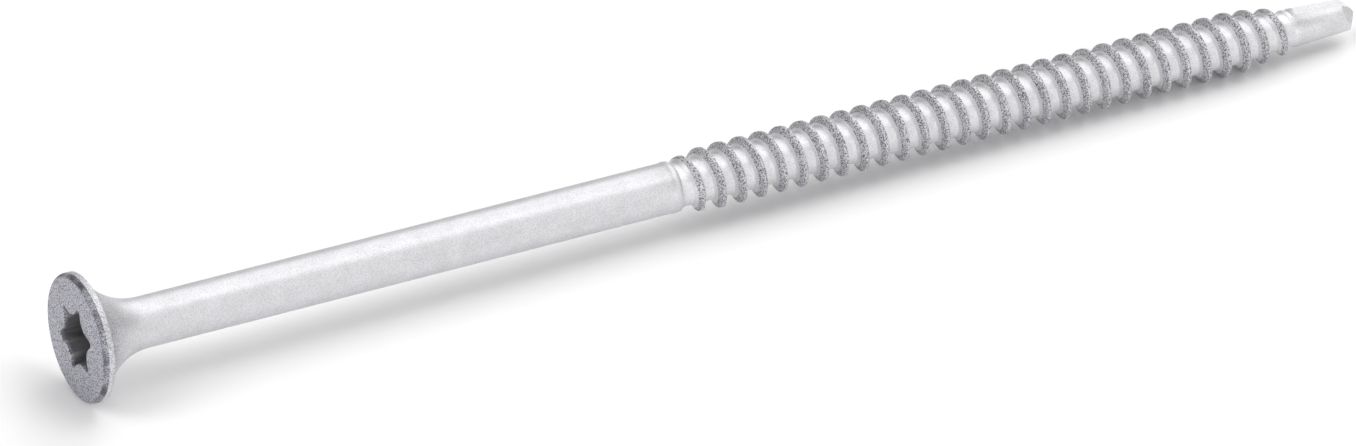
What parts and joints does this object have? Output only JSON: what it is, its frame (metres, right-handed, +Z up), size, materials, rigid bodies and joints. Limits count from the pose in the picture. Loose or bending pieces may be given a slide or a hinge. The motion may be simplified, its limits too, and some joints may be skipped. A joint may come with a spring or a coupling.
{
  "type": "self-drilling roofing screw",
  "caption": "Self-drilling roofing screw: flat trumpet head with a hexalobular recess, plain shank, coarse right-hand thread and fluted drill point.",
  "frame": {"origin": "middle of the screw's bounding box in plan, on the flat surface that the screw lies on", "axes": "+X runs along the screw from the head to the drill tip, level with the surface; +Z is up, away from it. The screw's own axis dips 1.5 degrees from +X towards the surface, because it rests on its head's rim and on the thread"},
  "size_m": [0.1068, 0.0098, 0.0097],
  "materials": {
    "zinc_flake_coat": "satin silver-grey zinc-flake coat on carbon steel, finely speckled"
  },
  "bodies": {
    "root": {"roofing_screw": "zinc_flake_coat"}
  },
  "joints": []
}
